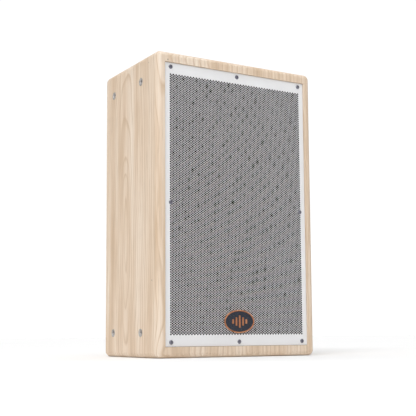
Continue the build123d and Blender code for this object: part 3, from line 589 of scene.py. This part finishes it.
def make_grille(material):
    """The perforated sheet: a plain border and bands of staggered holes."""
    low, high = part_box("grille")
    front, back = low[1], high[1]
    web_back = front + WEB_DEPTH
    tip, _ = hexagon_reaches()
    columns = round((high[0] - low[0] - 2 * SIDE_MARGIN) / COLUMN_PITCH)
    columns -= 1 - columns % 2
    width = (columns - 1) * COLUMN_PITCH + 2 * tip
    rows = round((high[2] - low[2] - 2 * END_MARGIN) / ROW_PITCH)
    left = (low[0] + high[0] - width) / 2
    bottom = (low[2] + high[2] - rows * ROW_PITCH) / 2
    cuts = [round(columns * i / GRILLE_BANDS) for i in range(GRILLE_BANDS + 1)]
    for i, (start, stop) in enumerate(zip(cuts, cuts[1:])):
        own = range(start, stop)
        strip = grille_strip(own, columns - 1, rows, (left, bottom), front, web_back)
        piece = add_piece(f"grille_band_{i + 1}", *strip, material, "cabinet", "grille")
        planar_map(piece)
        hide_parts("grille")
    outer = (low[0], low[2], high[0], high[2])
    inner = (left, bottom, left + width, bottom + rows * ROW_PITCH)
    border = border_frame(outer, inner, front, back)
    piece = add_piece("grille_border", *border, material, "cabinet", "grille")
    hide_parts("grille")


def border_frame(outer, inner, front, back):
    """A flat frame between two rectangles, with a small break on its outer front edge."""
    x_low, z_low, x_high, z_high = outer
    eased = (x_low + EDGE_BREAK, z_low + EDGE_BREAK, x_high - EDGE_BREAK, z_high - EDGE_BREAK)
    loops = []
    for (x0, z0, x1, z1), depth in (
        (inner, front),
        (eased, front),
        (outer, front + EDGE_BREAK),
        (outer, back),
        (inner, back),
    ):
        loops.append([(x0, depth, z0), (x1, depth, z0), (x1, depth, z1), (x0, depth, z1)])
    vertices = [corner for loop in loops for corner in loop]
    faces = []
    for ring in range(len(loops)):
        other = (ring + 1) % len(loops)
        for i in range(4):
            j = (i + 1) % 4
            faces.append((ring * 4 + i, other * 4 + i, other * 4 + j, ring * 4 + j))
    return vertices, faces


def cross_depth(x, z, arm, reach):
    """How deep a point is in a cross recess, 0 to 1, with sloping walls."""
    long = max(abs(x), abs(z))
    short = min(abs(x), abs(z))
    inside = min(1.0, max(0.0, (arm - short) / (0.35 * arm)))
    return inside * min(1.0, max(0.0, (reach - long) / (0.3 * reach)))


def cross_head(centre, radius, dome, segments=48, rings=14):
    """A domed pan head facing -Y with a pressed cross recess."""
    x0, y0, z0 = centre
    vertices = []
    faces = []
    arm = radius * 0.13
    reach = radius * 0.46
    deep = dome * 0.40
    grid = []
    for ring in range(rings + 1):
        share = ring / rings
        distance = radius * share
        height = dome * math.sqrt(max(0.0, 1 - (share * 0.97) ** 2.4))
        row = []
        for i in range(segments):
            turn = 2 * math.pi * i / segments
            x = distance * math.cos(turn)
            z = distance * math.sin(turn)
            inside = cross_depth(x, z, arm, reach)
            row.append(len(vertices))
            vertices.append((x0 + x, y0 - height + deep * inside, z0 + z))
        grid.append(row)
    edge = []
    for i in range(segments):
        turn = 2 * math.pi * i / segments
        edge.append(len(vertices))
        vertices.append((x0 + radius * math.cos(turn), y0, z0 + radius * math.sin(turn)))
    grid.append(edge)
    for low, high in zip(grid, grid[1:]):
        for i in range(segments):
            j = (i + 1) % segments
            faces.append((low[i], low[j], high[j], high[i]))
    faces.append(tuple(reversed(edge)))
    return vertices, faces


def screw_centres(node, head_radius):
    """The (x, z) centres of a node's separate screws, from the clusters of its vertices."""
    reach = 3 * head_radius
    groups = {}
    for vertex in frame["nodes"][node].data.vertices:
        x, _, z = vertex.co
        key = (x, z)
        for centre in groups:
            if abs(centre[0] - x) < reach and abs(centre[1] - z) < reach:
                key = centre
        groups.setdefault(key, []).append((x, z))
    centres = []
    for points in groups.values():
        xs, zs = zip(*points)
        centres.append(((min(xs) + max(xs)) / 2, (min(zs) + max(zs)) / 2))
    return centres


def make_grille_screws(material):
    """Domed cross-head screws with their shanks."""
    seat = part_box("grille")[0][1]
    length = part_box("grille_screws")[1][1] - seat
    shank = [
        (SCREW_SHANK_RADIUS, 0.0),
        (SCREW_SHANK_RADIUS, length - SCREW_POINT),
        (0.0, length),
    ]
    parts = []
    for x, z in screw_centres("grille_screws", SCREW_HEAD_RADIUS):
        centre = (x, seat, z)
        parts.append(cross_head(centre, SCREW_HEAD_RADIUS, SCREW_DOME))
        parts.append(lathe(shank, centre, (0, 1, 0), 24))
    piece = add_piece("grille_screw_set", *join(parts), material, "cabinet", "screw", 35)
    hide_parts("grille_screws")


def oval_skin(box, profile, capped=False):
    """The skin through ovals in the outline of box, one for each (inset, height) of a profile."""
    low, high = box
    centre_x = (low[0] + high[0]) / 2
    centre_z = (low[2] + high[2]) / 2
    half_x = (high[0] - low[0]) / 2
    half_z = (high[2] - low[2]) / 2
    vertices = []
    for inset, height in profile:
        for i in range(BADGE_SEGMENTS):
            turn = 2 * math.pi * i / BADGE_SEGMENTS
            x = centre_x + (half_x - inset) * math.cos(turn)
            z = centre_z + (half_z - inset) * math.sin(turn)
            vertices.append((x, high[1] - height, z))
    faces = []
    for ring in range(len(profile) - 1):
        here = ring * BADGE_SEGMENTS
        there = here + BADGE_SEGMENTS
        for i in range(BADGE_SEGMENTS):
            j = (i + 1) % BADGE_SEGMENTS
            faces.append((here + i, there + i, there + j, here + j))
    if capped:
        last = (len(profile) - 1) * BADGE_SEGMENTS
        faces.append(tuple(last + i for i in range(BADGE_SEGMENTS)))
        faces.append(tuple(reversed(range(BADGE_SEGMENTS))))
    return vertices, faces


def rolled_profile(depth):
    """The closed section of a rim that is rolled over to a half round."""
    radius = BADGE_RIM_WIDTH / 2
    profile = [(0.0, 0.0)]
    for i in range(RIM_ROLL_STEPS + 1):
        turn = math.pi * i / RIM_ROLL_STEPS
        across = radius * (1 - math.cos(turn))
        profile.append((across, depth - radius + radius * math.sin(turn)))
    return [*profile, (BADGE_RIM_WIDTH, 0.0), (0.0, 0.0)]


def make_badge(materials):
    """A domed dark plate in a rolled copper rim, with copper level bars."""
    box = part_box("badge_rim")
    rim_skin = oval_skin(box, rolled_profile(box[1][1] - box[0][1]))
    copper = materials["copper"]
    rim = add_piece("badge_rolled_rim", *rim_skin, copper, "cabinet", "copper", 40)
    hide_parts("badge_rim")

    edge = BADGE_RIM_WIDTH + 0.05 * MM
    rise = BADGE_PLATE_RISE
    steps = [(edge, 0.0), (edge, rise - 0.35 * MM)]
    steps += [(edge + 0.25 * MM, rise - 0.1 * MM), (edge + 0.95 * MM, rise)]
    plate_skin = oval_skin(box, steps, capped=True)
    dark = materials["badge_dark"]
    plate = add_piece("badge_dished_plate", *plate_skin, dark, "cabinet", "badge_dark", 40)
    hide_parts("badge_plate")
    frame["nodes"]["badge_emblem"].data.materials[0] = copper


def insert_profile(flange_radius):
    """The section of a threaded insert as (radius, depth) from its face, round to its bore's end."""
    body = INSERT_BODY_RADIUS
    profile = [(0.0, INSERT_LENGTH), (body, INSERT_LENGTH), (body, INSERT_FLANGE)]
    profile += [(flange_radius, INSERT_FLANGE), (flange_radius, 0.2 * MM)]
    profile += [(flange_radius - 0.3 * MM, 0.0), (INSERT_MOUTH_RADIUS, 0.0)]
    profile.append((INSERT_MOUTH_RADIUS - 1.0 * MM, 1.0 * MM))
    for turn in range(THREAD_TURNS):
        start = 1.0 * MM + turn * THREAD_PITCH
        profile.append((THREAD_ROOT_RADIUS, start))
        profile.append((THREAD_CREST_RADIUS, start + THREAD_PITCH / 2))
    runout = 13.2 * MM
    profile += [(THREAD_ROOT_RADIUS, runout), (THREAD_ROOT_RADIUS, BORE_DEPTH)]
    return [*profile, (0.0, BORE_DEPTH)]


def make_inserts(material):
    """Flanged inserts with a chamfered mouth and cut thread rings."""
    for side, name in ((-1, "left"), (1, "right")):
        node = f"rigging_inserts_{name}"
        low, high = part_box(node)
        face = low[0] if side < 0 else high[0]
        flange_radius = (high[1] - low[1] - INSERT_SPACING) / 2
        profile = insert_profile(flange_radius)
        parts = []
        for y in (low[1] + flange_radius, high[1] - flange_radius):
            for z in (low[2] + flange_radius, high[2] - flange_radius):
                parts.append(lathe(profile, (face, y, z), (-side, 0, 0), 40))
        skin = join(parts)
        piece = add_piece(f"threaded_inserts_{name}", *skin, material, "cabinet", "insert", 30)
        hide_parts(node)


# --------------------------------------------------------- camera and stage


def make_camera():
    """The viewpoint: low, in front and to the left, looking slightly up."""
    place = Vector((-1.0148, -1.7075, 0.0465))
    forward = Vector((0.5077, 0.8545, 0.1101)).normalized()
    level = forward.cross(Vector((0, 0, 1))).normalized()
    rise = level.cross(forward)
    roll = -0.00658
    right = math.cos(roll) * level + math.sin(roll) * rise
    up = math.cos(roll) * rise - math.sin(roll) * level
    data = bpy.data.cameras.new("camera")
    data.lens = 79.09
    data.sensor_width = 36.0
    data.shift_y = 0.06
    data.clip_start = 0.05
    data.clip_end = 60.0
    camera = bpy.data.objects.new("camera", data)
    rotation = Matrix((right, up, -forward)).transposed().to_4x4()
    camera.matrix_world = Matrix.Translation(place) @ rotation
    bpy.context.scene.collection.objects.link(camera)
    bpy.context.scene.camera = camera


def add_light(name, kind, place, target, power, size):
    """A soft light: a square panel, or a distant source as wide as an angle in degrees."""
    data = bpy.data.lights.new(name, kind)
    data.energy = power
    if kind == "AREA":
        data.size = size
    else:
        data.angle = math.radians(size)
    light = bpy.data.objects.new(name, data)
    aim = Vector(target) - Vector(place)
    light.rotation_euler = aim.to_track_quat("-Z", "Y").to_euler()
    light.location = place
    bpy.context.scene.collection.objects.link(light)


def make_world():
    """White surroundings that light the object less than they show to the camera."""
    world = bpy.data.worlds.new("studio")
    world.use_nodes = True
    nodes = world.node_tree.nodes
    background = nodes["Background"]
    background.inputs["Color"].default_value = (1.0, 1.0, 1.0, 1.0)
    level = nodes.new("ShaderNodeMapRange")
    level.inputs["To Min"].default_value = 0.32
    level.inputs["To Max"].default_value = 1.05
    ray = nodes.new("ShaderNodeLightPath")
    world.node_tree.links.new(ray.outputs["Is Camera Ray"], level.inputs["Value"])
    world.node_tree.links.new(level.outputs["Result"], background.inputs["Strength"])
    bpy.context.scene.world = world
    bpy.context.scene.view_settings.view_transform = "Standard"


def make_floor():
    """A wide pale floor."""
    reach = 12.0
    mesh = bpy.data.meshes.new("floor")
    corners = [(-reach, -reach, 0), (reach, -reach, 0), (reach, reach, 0), (-reach, reach, 0)]
    mesh.from_pydata(corners, [], [(0, 1, 2, 3)])
    floor = bpy.data.objects.new("floor", mesh)
    shade = Shade("pale_floor", roughness=0.9)
    cloud = shade.noise(2.0, detail=2.0)
    shade.colour(shade.ramp(cloud, (0.3, 0.93), (0.7, 0.95)))
    mesh.materials.append(shade.material)
    bpy.context.scene.collection.objects.link(floor)


def make_lights():
    """A key, a wide overhead light and a small glow on the front."""
    middle = (0.0, 0.0, 0.3)
    add_light("key", "SUN", (-2.1, -1.7, 2.4), middle, 1.15, 30.0)
    add_light("overhead", "SUN", (0.0, 0.2, 3.0), middle, 1.75, 80.0)
    add_light("glow", "AREA", (-0.7, -1.2, 1.5), (0.0, 0.0, 0.55), 2.2, 0.5)


# ------------------------------------------------------------------- making

make_camera()
make_world()
make_floor()
make_lights()
surfaces = make_materials()
dress_cad_nodes(surfaces)
make_grille(surfaces["grille"])
make_grille_screws(surfaces["screw"])
make_badge(surfaces)
make_inserts(surfaces["insert"])
